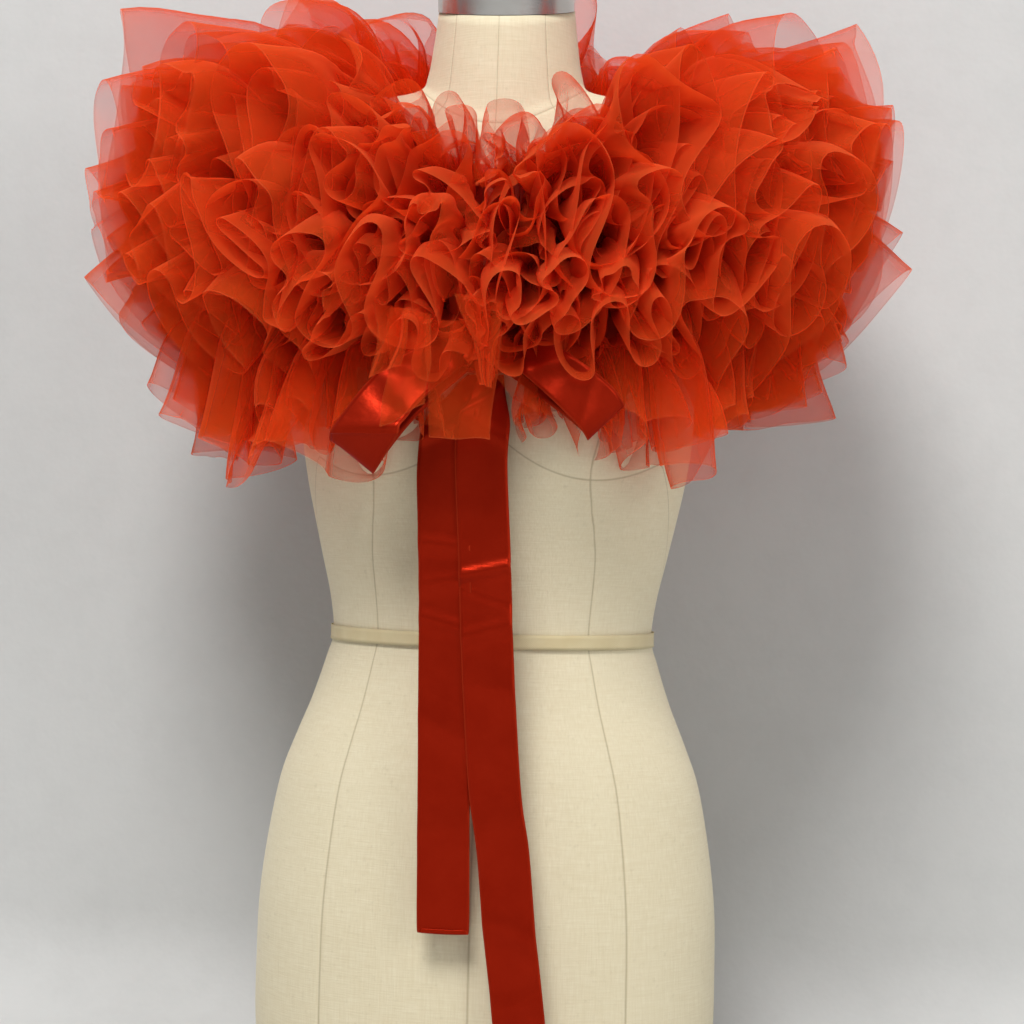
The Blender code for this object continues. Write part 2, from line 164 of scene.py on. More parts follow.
class Wire:
    """A node's output, on which sums are written as on a number."""

    def __init__(self, paint, socket):
        self.paint, self.socket = paint, socket

    def sum(self, operation, *values):
        return self.paint.node("ShaderNodeMath", {"operation": operation}, *values)

    def __add__(self, other):
        return self.sum("ADD", self, other)

    def __radd__(self, other):
        return self.sum("ADD", other, self)

    def __sub__(self, other):
        return self.sum("SUBTRACT", self, other)

    def __rsub__(self, other):
        return self.sum("SUBTRACT", other, self)

    def __mul__(self, other):
        return self.sum("MULTIPLY", self, other)

    def __rmul__(self, other):
        return self.sum("MULTIPLY", other, self)

    def __truediv__(self, other):
        return self.sum("DIVIDE", self, other)

    def __abs__(self):
        return self.sum("ABSOLUTE", self)

    def within(self, width):
        """1 where this is nearer to nothing than the width, falling smoothly to 0."""
        near = self.sum("SUBTRACT", 1.0, abs(self) / width)
        return self.sum("MAXIMUM", near, 0.0)

    def kept(self):
        """This, held from 0 to 1."""
        held = {"operation": "ADD", "use_clamp": True}
        return self.paint.node("ShaderNodeMath", held, self, 0.0)


class Paint:
    """A material's nodes."""

    def __init__(self, name):
        self.material = bpy.data.materials.new(name)
        self.material.use_nodes = True
        self.tree = self.material.node_tree
        self.tree.nodes.clear()
        self.out = self.tree.nodes.new("ShaderNodeOutputMaterial")

    def node(self, kind, settings=None, *inputs, output=0, **named):
        made = self.tree.nodes.new(kind)
        for key, value in (settings or {}).items():
            setattr(made, key, value)
        for i, value in enumerate(inputs):
            self.feed(made.inputs[i], value)
        for key, value in named.items():
            self.feed(made.inputs[key.replace("_", " ")], value)
        return Wire(self, made.outputs[output])

    def feed(self, socket, value):
        if isinstance(value, Wire):
            self.tree.links.new(value.socket, socket)
        elif value is not None:
            socket.default_value = value

    def mark(self, name):
        """A number that is marked on the mesh."""
        found = self.node("ShaderNodeAttribute", {"attribute_name": name})
        return Wire(self, found.socket.node.outputs["Fac"])

    def place(self, *scale):
        """Where a point of the surface is, in metres, times a scale."""
        where = self.node("ShaderNodeTexCoord")
        where = Wire(self, where.socket.node.outputs["Object"])
        return self.node("ShaderNodeMapping", {}, Vector=where, Scale=scale)

    def noise(self, scale, detail=2.0, where=None, rough=0.5):
        """A soft uneven pattern from 0 to 1, this many times a metre."""
        where = where or self.place(1.0, 1.0, 1.0)
        return self.node(
            "ShaderNodeTexNoise", {}, Vector=where, Scale=scale, Detail=detail, Roughness=rough
        )

    def mix(self, share, a, b):
        """Two colours mixed by a share."""
        made = self.node("ShaderNodeMix", {"data_type": "RGBA"})
        made = made.socket.node
        self.feed(made.inputs[0], share)
        for socket, colour in ((made.inputs[6], a), (made.inputs[7], b)):
            self.feed(socket, colour if isinstance(colour, Wire) else (*colour, 1.0))
        return Wire(self, made.outputs[2])

    def bump(self, height, distance, strength=1.0, over=None):
        return self.node(
            "ShaderNodeBump", {}, Strength=strength, Distance=distance, Height=height, Normal=over
        )

    def shine(self, colour, roughness, **more):
        """The Principled shader."""
        named = {"Base_Color": colour, "Roughness": roughness, **more}
        if isinstance(colour, tuple):
            named["Base_Color"] = (*colour, 1.0)
        return self.node("ShaderNodeBsdfPrincipled", {}, **named)

    def done(self, shader):
        self.tree.links.new(shader.socket, self.out.inputs["Surface"])
        return self.material


def linen_paint():
    """Natural linen, with slubs in both ways of the weave, soiled near its seams."""
    p = Paint("linen")
    slub_up = p.noise(1.0, 2.0, p.place(900.0, 900.0, 60.0))
    slub_round = p.noise(1.0, 2.0, p.place(60.0, 60.0, 1100.0))
    cloudy = p.noise(7.0, 2.0)
    flecks = p.noise(220.0, 2.0)
    panel = p.mark("panel") + 0.5
    seam = abs(panel.sum("FRACT", panel) - 0.5) * 0.1
    under_bust, neck_join = p.mark("under_bust"), p.mark("neck_join")
    seams = (seam.within(0.0011) + under_bust.within(0.0011) + neck_join.within(0.0012)).kept()
    stitch = (seam.within(0.0028) + under_bust.within(0.0028) + neck_join.within(0.003)).kept()
    base = p.mix(cloudy, (0.640, 0.542, 0.350), (0.735, 0.648, 0.445))
    base = p.mix((slub_up * slub_round * 1.6 - 0.10).kept(), base, (0.80, 0.73, 0.54))
    base = p.mix(((flecks - 0.62) * 3.0).kept() * 0.35, base, (0.42, 0.34, 0.20))
    base = p.mix(seams * 0.55, base, (0.30, 0.23, 0.12))
    height = slub_up * 0.5 + slub_round * 0.5 - stitch * 0.9
    normal = p.bump(height, 0.0006, 0.55)
    return p.done(p.shine(base, 0.88, Sheen_Weight=0.12, Sheen_Roughness=0.5, Normal=normal))


LINEN = linen_paint()

table = [(w, f, b, z, z, z) for z, w, f, b in BODY_LEVELS]
shoulder = YOKE_RINGS.copy()
shoulder[:, 0] -= YOKE_HANG
table = np.vstack([table, CHEST_RING, shoulder, NECK_RINGS])
ring_places = np.linspace(0, len(table) - 1, (len(table) - 1) * FORM_BETWEEN_RINGS + 1)
form_table = between(table, ring_places)
form_angles = np.linspace(-np.pi, np.pi, FORM_ROUND, endpoint=False)
first_neck = len(table) - len(NECK_RINGS)
points, panel, under_bust, neck_join = [], [], [], []
for place, ring in zip(ring_places, form_table):
    slant = np.clip(place - (len(table) - 2), 0, 1)
    line = ring_points(ring, form_angles, slant)
    points.append(line)
    # Seams fall on whole numbers of panel: centre, princess, side, back princess, centre
    above_waist = (line[:, 2].mean() - DRAWN_IN_HEIGHT) / DRAWN_IN_TALL
    princess = PRINCESS_ANGLE - PRINCESS_DRAWN_IN * math.exp(-(above_waist**2))
    stops = (0.0, princess, np.pi / 2, BACK_PRINCESS_ANGLE, np.pi + 1e-3)
    panel.append(np.sign(form_angles) * np.interp(np.abs(form_angles), stops, (0, 1, 2, 3, 4)))
    from_cup = (np.abs(line[:, 0]) - CUP_SEAM_X) / CUP_SEAM_WIDE
    curve = CUP_SEAM_HEIGHT + CUP_SEAM_RISE * from_cup**2
    away = np.clip(np.abs(form_angles) - CUP_SEAM_END, 0, None) * 0.2
    under_bust.append(line[:, 2] - curve + away)
    neck_join.append(np.full(FORM_ROUND, (place - first_neck) * NECK_RING_STEP))
rings = len(points)
points = np.concatenate(points)
faces = [list(f) for f in grid_faces(rings, FORM_ROUND, closed=True)]
faces.append(list(range(FORM_ROUND))[::-1])
faces.append([(rings - 1) * FORM_ROUND + i for i in range(FORM_ROUND)])
marks = {
    "panel": np.concatenate(panel),
    "under_bust": np.concatenate(under_bust),
    "neck_join": np.concatenate(neck_join),
}
form = new_piece("dress_form_body", points, faces, [LINEN], marks)
form.data.polygons[len(faces) - 1].use_smooth = False
form.data.polygons[len(faces) - 2].use_smooth = False
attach(form, "root")
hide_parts("form_body")

# The waist tape: narrow cotton twill, pinned round the waist where it dips in front.
TAPE_WIDTH, TAPE_THICK, TAPE_CLEAR, TAPE_ROUND = 0.011, 0.0009, 0.0005, 160
TAPE_EDGE_STAND = 0.0018


def twill_paint():
    p = Paint("twill tape")
    where = p.node("ShaderNodeUVMap", {"uv_map": "cloth"})
    ribs = p.node(
        "ShaderNodeTexWave", {"wave_type": "BANDS", "bands_direction": "DIAGONAL"},
        Vector=where, Scale=420.0, Distortion=0.6, Detail=1.0,
    )
    worn = p.noise(60.0, 3.0)
    base = p.mix(worn, (0.60, 0.48, 0.25), (0.74, 0.64, 0.40))
    normal = p.bump(ribs, 0.0004, 0.6)
    return p.done(p.shine(base, 0.82, Sheen_Weight=0.15, Normal=normal))


TWILL = twill_paint()
tape_angles = np.linspace(-np.pi, np.pi, TAPE_ROUND, endpoint=False)
level = ring_points((0.1240, 0.0865, 0.0850, 0.376, 0.376, 0.376), tape_angles)
out = np.stack([np.sin(tape_angles), -np.cos(tape_angles), 0 * tape_angles], axis=1)
profile = [(-0.5, 0.0), (-0.5, 1.0), (-0.25, 1.25), (0.25, 1.25), (0.5, 1.0), (0.5, 0.0)]
points, uv = [], []
for height, stand in profile:
    above = level + out * (TAPE_CLEAR + TAPE_THICK * stand)
    above[:, 2] += TAPE_WIDTH * height
    # The waist is a hollow, so the tape's edges stand a little further out.
    above += out * TAPE_EDGE_STAND * abs(height)
    points.append(above)
    uv.append(np.stack([tape_angles * 0.1, np.full(TAPE_ROUND, TAPE_WIDTH * height)], axis=1))
faces = grid_faces(len(profile) + 1, TAPE_ROUND, closed=True) % (len(profile) * TAPE_ROUND)
tape = new_piece("waist_tape", np.concatenate(points), faces, [TWILL], uv=np.concatenate(uv))
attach(tape, "root")
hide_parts("form_waist_tape")
round_waist = float(np.linalg.norm(np.diff(level, axis=0), axis=1).sum())

# The neck cap: a shallow cup of polished steel, pressed over the neck's slanting top.
CAP_RADIUS, CAP_HEIGHT, CAP_ROLL = 0.0530, 0.0240, 0.0022
CAP_CLEAR, CAP_CENTRE, CAP_ROUND, ROLL_STEPS = 0.0005, 0.0004, 128, 6


def steel_paint():
    p = Paint("neck cap steel")
    brushed = p.noise(1.0, 2.0, p.place(90.0, 90.0, 2600.0))
    prints = p.noise(45.0, 4.0)
    rough = 0.13 + brushed * 0.07 + prints * 0.12
    base = p.mix(prints, (0.60, 0.59, 0.57), (0.48, 0.46, 0.43))
    normal = p.bump(brushed, 0.0001, 0.25)
    return p.done(p.shine(base, rough, Metallic=1.0, Normal=normal))


top_z, bottom_z = NECK_RINGS[-1][5], NECK_RINGS[-1][3]
depth = NECK_RINGS[-1][1] + NECK_RINGS[-1][2]
tilt = math.atan2(top_z - bottom_z, depth)
cap_section = [(0.0, CAP_HEIGHT), (CAP_RADIUS - 3 * CAP_ROLL, CAP_HEIGHT)]
for i in range(ROLL_STEPS + 1):
    turn = math.pi / 2 * i / ROLL_STEPS
    cap_section.append((
        CAP_RADIUS - CAP_ROLL + CAP_ROLL * math.sin(turn),
        CAP_HEIGHT - CAP_ROLL + CAP_ROLL * math.cos(turn),
    ))
cap_section += [(CAP_RADIUS, CAP_HEIGHT * 0.5), (CAP_RADIUS, 0.0), (0.0, 0.0)]
around = np.linspace(0, 2 * np.pi, CAP_ROUND, endpoint=False)
seat_y = (NECK_RINGS[-1][2] - NECK_RINGS[-1][1]) / 2
points = []
for radius, height in cap_section:
    radius, height = max(radius, CAP_CENTRE), height + CAP_CLEAR
    x, y = radius * np.cos(around), radius * np.sin(around)
    points.append(np.stack([
        x,
        seat_y + y * math.cos(tilt) - height * math.sin(tilt),
        (top_z + bottom_z) / 2 + y * math.sin(tilt) + height * math.cos(tilt),
    ], axis=1))
faces = [list(f) for f in grid_faces(len(cap_section), CAP_ROUND, closed=True)]
top = (len(cap_section) - 1) * CAP_ROUND
faces += [list(range(CAP_ROUND)), [top + i for i in range(CAP_ROUND)][::-1]]
cap = new_piece("neck_cap", np.concatenate(points), [f[::-1] for f in faces], [steel_paint()])
cap.data.set_sharp_from_angle(angle=math.radians(60))
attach(cap, "root")
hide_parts("form_neck_cap")

# The yoke: three panels of firm net round the neck and over the shoulders, on which the
# rows are sewn. It hardly shows between them.
YOKE_CLEARANCE, YOKE_WALL = 0.0006, 0.0015
OPENING_HALF, TIE_OPENING_HALF, BACK_SEAM_HALF = 0.0045, 0.0280, 0.0008
SHOULDER_SEAM_ANGLE = 0.0025


def heading_point(line, angle, clearance):
    """Points of the yoke's lines, moved out of the form by the clearance."""
    line = np.asarray(line, float)
    last = len(YOKE_RINGS) - 1
    below, above = (between(YOKE_RINGS, np.clip(line + step, 0, last)).T for step in (-1, 1))
    small = 1e-3
    sideways = ring_points(below, angle + small) - ring_points(below, angle - small)
    sideways += ring_points(above, angle + small) - ring_points(above, angle - small)
    normal = np.cross(sideways, ring_points(above, angle) - ring_points(below, angle))
    normal /= np.linalg.norm(normal, axis=-1, keepdims=True)
    return ring_points(between(YOKE_RINGS, line).T, angle) + normal * clearance


def net_paint():
    p = Paint("yoke net")
    holes = p.noise(900.0, 1.0)
    base = p.mix(p.noise(30.0, 3.0), (0.40, 0.020, 0.006), (0.60, 0.050, 0.012))
    normal = p.bump(holes, 0.0003, 0.5)
    return p.done(p.shine(base, 0.8, Sheen_Weight=0.2, Normal=normal))


NET = net_paint()
edge = OPENING_HALF / YOKE_RINGS[0][0]
seam = math.pi / 2
panels = {
    "yoke_front_left": (edge, seam - SHOULDER_SEAM_ANGLE),
    "yoke_front_right": (-seam + SHOULDER_SEAM_ANGLE, -edge),
    "yoke_back": (seam + SHOULDER_SEAM_ANGLE, 3 * seam - SHOULDER_SEAM_ANGLE),
}
for name, (start, end) in panels.items():
    across = 41 if name == "yoke_back" else 21
    angles, lines = np.meshgrid(
        np.linspace(start, end, across), np.linspace(0, len(YOKE_RINGS) - 1, 22)
    )
    flat = heading_point(lines.ravel(), angles.ravel(), YOKE_CLEARANCE + YOKE_WALL / 2)
    panel_piece = new_piece(name + "_net", flat, grid_faces(22, across), [NET])
    wall = panel_piece.modifiers.new("wall", "SOLIDIFY")
    wall.thickness, wall.offset = YOKE_WALL, 0.0
    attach(panel_piece, "root")
    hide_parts(name)
    cut = (0.26, 0.20) if name != "yoke_back" else (0.52, 0.19)

# The rows: strips of soft nylon tulle, three layers to a row, gathered tightly on their
# upper edge and left raw below, so that they stand out in deep folds and overlap.

# name, heading line, lift in degrees and reach, each in front, at the side and behind,
# how far the edge drops, and the size of the folds
ROWS = (
    ("ruffle_6", 1, (-60, -78, -75), (0.062, 0.113, 0.110), 0.000, 0.55),
    ("ruffle_5", 2, (-17, -50, -43), (0.074, 0.108, 0.110), 0.003, 0.72),
    ("ruffle_4", 3, (-10, -17, -13), (0.090, 0.125, 0.120), 0.006, 0.88),
    ("ruffle_3", 4, (0, 0, 7), (0.085, 0.124, 0.122), 0.008, 0.94),
    ("ruffle_2", 5, (8, 3, 22), (0.075, 0.147, 0.108), 0.010, 0.94),
    ("ruffle_1", 6, (20, 5, 31), (0.060, 0.102, 0.062), 0.004, 0.90),
)
WAVE_SPACING = (0.052, 0.094, 0.082)
STEPS_PER_WAVE, STEPS_OUT, GATHERS = 54, 12, 7
# lift added in degrees, share of the reach in front and elsewhere, and how far the
# edge's folds swing round
LAYERS = ((-14.0, 0.70, 0.86, 1.74), (-2.0, 1.05, 1.00, 1.90), (6.0, 0.85, 0.88, 1.82))
# side, row, angle from the centre front, width in radians, and how much longer it hangs
LONG_PLACES = (
    ("right", 1, 0.84, 0.16, 0.66), ("right", 1, 0.50, 0.10, 0.52), ("left", 1, 0.72, 0.13, 0.60),
    ("left", 1, 0.46, 0.08, 0.25),
    ("right", 1, 1.40, 0.35, 0.32), ("right", 2, 1.60, 0.40, 0.20), ("right", 5, 1.40, 0.25, 0.26),
    ("right", 3, 1.45, 0.20, 0.10), ("left", 5, 0.75, 0.16, 0.10),
    ("left", 3, 1.50, 0.50, -0.16), ("left", 1, 1.50, 0.40, -0.18),
)
# the halves close over the opening by this much, within this far of it
CLOSED_OVER, CLOSED_WITHIN = 0.013, 0.045
BEHIND_BOW, LEFT_IN_FRONT = -0.144, 0.15
# Least and most of a fold's size and swing, and how far its gathers slip
FOLD_SIZES, FOLD_SWINGS, GATHER_SLIP = (0.55, 1.5), (0.86, 1.12), 0.35
MOST_SWING, GATHER_SWING, GATHER_LEFT = 2.1, 2.0, 0.10
# How uneven a strip hangs: degrees up and down, share of its length, lean of its folds,
# and metres that the cloth drifts, each over a wavelength in metres
FALL, FALL_MEAN, FALL_WAVE = 12.0, -2.0, 0.13
UNEVEN_LENGTH, LENGTH_WAVE, LEAN, LEAN_WAVE = 0.10, 0.09, 0.30, 0.16
DRIFT, DRIFT_WAVE, SHADE_WAVE = 0.010, 0.100, 0.06
# How the cloth settles: its spring along and across the strip, how firmly its threads
# keep square, and how firmly the edge and the heading keep their drawn places
SETTLE_TURNS, SPRING_ALONG, SPRING_OUT, SQUARE = 110, 0.05, 0.03, 0.2
EDGE_HOLD, HEADING_HOLD = 0.010, 0.20
# How far a fold's thread goes on for each swing, so that its cut length is known
SWINGS = np.linspace(0, 2.4, 121)
TURN = np.linspace(0, 2 * np.pi, 181)[:-1]
PROGRESS = np.cos(SWINGS[:, None] * np.sin(TURN)).mean(axis=1)


# Tulle colours: painted shade in the gathers, the hem, a painted sheen edge-on, and light through
# it
GATHER_SHADE_COLOUR, HEM_COLOUR = (0.84, 0.024, 0.002), (0.88, 0.112, 0.019)
EDGE_SHEEN_COLOUR, GLOW_COLOUR = (0.92, 0.23, 0.085), (0.87, 0.070, 0.010)


def tulle_paint():
    """Sheer net. It is denser where it turns edge-on and along its raw edge, with a painted
    sheen that makes it paler there, and painted shade that deepens its colour in its gathers."""
    p = Paint("tulle")
    facing = p.node("ShaderNodeLayerWeight", {}, 0.5, output=1)
    edge_on = facing * facing
    raw_edge = (p.mark("out") * 100.0 - 98.6).kept()
    # Painted shade: deeper red from the hem in towards the gathers, by the pale mark
    base = p.mix(p.mark("pale"), GATHER_SHADE_COLOUR, HEM_COLOUR)
    # Painted sheen: paler where the net turns edge-on and along its raw edge
    base = p.mix(edge_on * 0.45 + raw_edge * 0.35, base, EDGE_SHEEN_COLOUR)
    cover = edge_on * 0.50 + raw_edge * 0.10 + 0.38
    front = p.shine(base, 0.9, Specular_IOR_Level=0.0)
    glow = p.node("ShaderNodeBsdfTranslucent", {}, (*GLOW_COLOUR, 1.0))
    cloth = p.node("ShaderNodeMixShader", {}, 0.50, front, glow)
    clear = p.node("ShaderNodeBsdfTransparent")
    return p.done(p.node("ShaderNodeMixShader", {}, cover, clear, cloth))


TULLE = tulle_paint()


def uneven_line(place, wavelength, source):
    """A smooth random number, mostly from -1 to 1, along a line."""
    total = 0.0
    for octave, share in ((1.0, 0.8), (2.1, 0.4)):
        for _ in range(3):
            turn, rate = source.uniform(0, 2 * np.pi), source.uniform(0.7, 1.3)
            total = total + share / 2 * np.sin(
                2 * np.pi * place * rate * octave / wavelength + turn
            )
    return total


def drift(points, wavelength, source):
    """A smooth random push for each point, in three ways."""
    push = np.zeros_like(points)
    for _ in range(9):
        way = source.normal(size=3)
        way *= 2 * np.pi / wavelength / np.linalg.norm(way)
        turn = source.uniform(0, 2 * np.pi)
        push += source.normal(size=3) / 3 * np.sin(points @ way + turn)[..., None]
    return push


def flared_sheet(row, angle, out, extra_lift, share, longer=1.0):
    """Points of a row before it folds, and the way its folds stand."""
    line, lift, reach, drop = row[1:5]
    ring = YOKE_RINGS[line]
    tilt = np.radians(round_body(*lift, angle) + extra_lift)
    far = round_body(*reach, angle) * round_body(*share, angle) * longer * out
    depth = np.where(np.cos(angle) > 0, ring[1], ring[2])
    level = np.stack([np.sin(angle) * depth, -np.cos(angle) * ring[0], 0 * angle], -1)
    level /= np.linalg.norm(level, axis=-1, keepdims=True)
    up = np.array([0.0, 0.0, 1.0])
    outward = level * np.cos(tilt)[..., None] + up * np.sin(tilt)[..., None]
    across = up * np.cos(tilt)[..., None] - level * np.sin(tilt)[..., None]
    clear = YOKE_CLEARANCE + YOKE_WALL + 0.0012
    point = heading_point(np.full(angle.shape, float(line)), angle, clear)
    point = point + outward * far[..., None]
    point[..., 2] -= drop * out**2
    return point, across


def pull(near, far, rest, firmness=0.5):
    """Moves pairs of points along the line between them towards their cut distance."""
    between_them = far - near
    apart = np.sqrt((between_them**2).sum(axis=-1))
    between_them *= ((apart - rest) / np.maximum(apart, 1e-7) * firmness)[..., None]
    near += between_them
    far -= between_them


def settle(cloth, along, outward, turns):
    """Lets a strip take its cut lengths back while it stays springy and round.

    Along is the cut length of each step on the strip, outward that across it.
    """
    drawn = cloth.copy()
    heading = cloth[0].copy()
    hold = EDGE_HOLD + HEADING_HOLD * (1 - np.linspace(0, 1, len(cloth))) ** 4
    hold = hold[:, None, None]
    slant = np.hypot(along, (outward[1:] + outward[:-1]) / 2)
    for _ in range(turns):
        bend = (
            cloth[1:, :-4] - 4 * cloth[1:, 1:-3] + 6 * cloth[1:, 2:-2]
            - 4 * cloth[1:, 3:-1] + cloth[1:, 4:]
        )
        cloth[1:, 2:-2] -= SPRING_ALONG * bend
        bend = cloth[:-4] - 4 * cloth[1:-3] + 6 * cloth[2:-2] - 4 * cloth[3:-1] + cloth[4:]
        cloth[2:-2] -= SPRING_OUT * bend
        cloth += hold * (drawn - cloth)
        for first in (0, 1):
            low, high = cloth[first:-1:2], cloth[first + 1::2]
            pull(low, high, outward)
            pull(low[:, :-1], high[:, 1:], slant, SQUARE)
            pull(low[:, 1:], high[:, :-1], slant, SQUARE)
            pull(cloth[1:, first:-1:2], cloth[1:, first + 1::2], along[first::2])
        cloth[0] = heading
    return cloth


def tulle_layer(row, side, layer, source):
    """One gathered strip: its points, how far out each is, its pale mark (painted shade
    towards the gathers, with uneven tone), and its area.
    """
    line, reach = row[1], row[3]
    extra_lift, front_share, side_share, fullness = LAYERS[layer]
    share = (front_share, side_share, side_share)
    ring = YOKE_RINGS[line]
    opening = TIE_OPENING_HALF if line == 1 else OPENING_HALF
    fine = np.linspace(opening / ring[0], np.pi - BACK_SEAM_HALF / ring[0], 700)
    outs = np.linspace(0, 1, STEPS_OUT + 1)
    lengths = []
    for out in outs:
        flat = flared_sheet(row, fine, np.full(fine.shape, out), extra_lift, share)[0]
        steps = np.linalg.norm(np.diff(flat, axis=0), axis=1)
        lengths.append(np.concatenate([[0], np.cumsum(steps)]))
    edge = lengths[-1]
    waves, reached = [], 0.0
    while reached < edge[-1]:
        angle = np.interp(reached, edge, fine)
        waves.append(float(round_body(*WAVE_SPACING, angle)) * row[5] * source.uniform(*FOLD_SIZES))
        reached += waves[-1]
    waves = np.array(waves) * edge[-1] / reached
    count, steps = len(waves), STEPS_PER_WAVE
    index = np.arange(count * steps + 1)
    wave = np.minimum(index // steps, count - 1)
    t = index / steps - wave
    swing = np.clip(fullness * source.uniform(*FOLD_SWINGS, count), 0, MOST_SWING)
    cut = waves / np.interp(swing, SWINGS, PROGRESS)
    step_length = (cut / steps)[wave]
    at = np.interp(np.concatenate([[0], np.cumsum(waves)]), edge, fine)
    signs = source.choice([-1.0, 1.0], count)[wave]
    slip = source.uniform(-GATHER_SLIP, GATHER_SLIP, count)[wave]
    start = np.concatenate([[0], np.cumsum(waves)])[wave] + waves[wave] * t
    fall = FALL * uneven_line(start, FALL_WAVE, source) + FALL_MEAN
    longer = 1 + UNEVEN_LENGTH * uneven_line(start, LENGTH_WAVE, source)
    for long_side, long_line, place, wide, more in LONG_PLACES:
        if (long_side, long_line) == (side, line):
            there = np.interp(start, edge, fine) - place
            longer += more * np.exp(-((there / wide) ** 2))
    lean = LEAN * uneven_line(start, LEAN_WAVE, source)
    box = np.ones(steps + 1) / (steps + 1)
    points = []
    for k, out in enumerate(outs):
        # Small gathers at the heading open into large folds towards the edge
        on_line = np.interp(at, fine, lengths[k])
        small = GATHER_SWING * (1 - out) ** 2.5 + GATHER_LEFT
        need = np.diff(on_line) / cut / np.interp(small, SWINGS, PROGRESS)
        large = np.interp(-np.clip(need, 0.1, 1), -PROGRESS, SWINGS)[wave]
        way = large * np.sin(2 * np.pi * t)
        way += small * signs * np.sin(2 * np.pi * GATHERS * (t + slip * np.sin(2 * np.pi * t) / 6))
        ahead, aside = np.cos(way) * step_length, np.sin(way) * step_length
        x = np.concatenate([[0], np.cumsum((ahead[1:] + ahead[:-1]) / 2)])
        y = np.concatenate([[0], np.cumsum((aside[1:] + aside[:-1]) / 2)])
        x += np.interp(index, index[::steps], on_line - x[::steps])
        y -= np.interp(index, index[::steps], y[::steps])
        y -= np.convolve(np.pad(y, steps // 2, mode="reflect"), box, mode="valid")
        angle = np.interp(x, lengths[k], fine)
        middle, across = flared_sheet(
            row, angle, np.full(angle.shape, out), extra_lift + fall * out, share,
            1 + (longer - 1) * out,
        )
        onward = np.gradient(middle, axis=0)
        onward /= np.maximum(np.linalg.norm(onward, axis=1, keepdims=True), 1e-9)
        points.append(middle + across * y[:, None] + onward * (lean * out * y)[:, None])
    points = np.array(points)
    grow = outs[:, None, None]
    points += drift(points, DRIFT_WAVE, source) * DRIFT * grow
    if line > 1:
        near_front = np.exp(-((points[..., :1] / CLOSED_WITHIN) ** 2)) * (points[..., 1:2] < 0)
        points[..., :1] -= CLOSED_OVER * near_front * grow
    there = np.interp(start, edge, fine)
    width = round_body(*reach, there) * round_body(*share, there) * longer
    settle(points, step_length[:-1], width / STEPS_OUT, SETTLE_TURNS)
    if line == 1:
        # The lowest row lies behind the bow, which is tied over it
        ahead = np.clip(BEHIND_BOW - points[..., 1], 0, None)
        points[..., 1] += ahead * (1 - LEFT_IN_FRONT)
    if side == "right":
        points[..., 0] *= -1
    uneven = 0.5 + 0.5 * np.clip(drift(points, SHADE_WAVE, source)[..., 0], -1, 1)
    area = float((step_length * width).sum())
    out = np.repeat(outs, len(index))
    # The pale mark: painted shade deepening towards the heading, with a little uneven tone
    return points, out, 0.8 * out**1.5 + 0.2 * uneven.ravel(), area


for number, row in enumerate(ROWS):
    for side in ("left", "right"):
        all_points, all_faces, all_out, all_pale, start, area = [], [], [], [], 0, 0.0
        for layer in range(len(LAYERS)):
            seed = 1000 + number * 100 + layer * 10 + (500 if side == "right" else 0)
            layer_random = np.random.default_rng(seed)
            points, out, pale, cut_area = tulle_layer(row, side, layer, layer_random)
            all_faces.append(grid_faces(*points.shape[:2]) + start)
            start += points.shape[0] * points.shape[1]
            area += cut_area
            all_points.append(points.reshape(-1, 3))
            all_out.append(out)
            all_pale.append(pale)
        marks = {"out": np.concatenate(all_out), "pale": np.concatenate(all_pale)}
        name = f"{row[0]}_{side}"
        piece = new_piece(
            name + "_tulle", np.concatenate(all_points), np.concatenate(all_faces),
            [TULLE], marks,
        )
        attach(piece, "root")
        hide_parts(name)
        strip = float(np.mean(row[3]))
        round(area / strip, 3)

# Sheer ends of the lower rows that fall over the bow: a straight one over both ends of
# the tie, one on the right loop, one drawn to a point, and one beside the left loop.
# Each has its corners' x and z, top left, top right, bottom right and bottom left as
# seen from the front, its distance forward above and below, and how many folds it has.
FLAPS = (
    (
        ((-0.0330, 0.606), (0.0190, 0.606), (0.0154, 0.5205), (-0.0290, 0.5230)),
        -0.178, -0.172, 1.3,
    ),
    (
        ((-0.0570, 0.612), (-0.0280, 0.606), (-0.0290, 0.5450), (-0.0640, 0.5300)),
        -0.184, -0.181, 1.0,
    ),
    (
        ((-0.0130, 0.622), (0.0230, 0.618), (0.0180, 0.5580), (0.0110, 0.5600)),
        -0.190, -0.184, 1.6,
    ),
    (
        ((-0.0050, 0.600), (0.0250, 0.598), (0.0560, 0.5390), (0.0220, 0.5520)),
        -0.152, -0.146, 0.8,
    ),
    (
        ((-0.0680, 0.616), (-0.0420, 0.612), (-0.0450, 0.5700), (-0.0700, 0.5640)),
        -0.190, -0.189, 1.7,
    ),
)
FLAP_WIDTH, FLAP_STEPS, FLAP_FOLD, FLAP_FALL, FLAP_RAW_SIDES = 0.060, 40, 0.0032, 0.6, 1.08
FLAP_DRIFT, FLAP_DRIFT_WAVE, FLAP_SHADE_WAVE = 0.0022, 0.045, 0.05


def between_corners(corners, across, down):
    """Points between four corners: top left, top right, bottom right and bottom left."""
    top_left, top_right, low_right, low_left = np.array(corners)
    across, down = across[..., None], down[..., None]
    above = top_left * (1 - across) + top_right * across
    return above * (1 - down) + (low_left * (1 - across) + low_right * across) * down


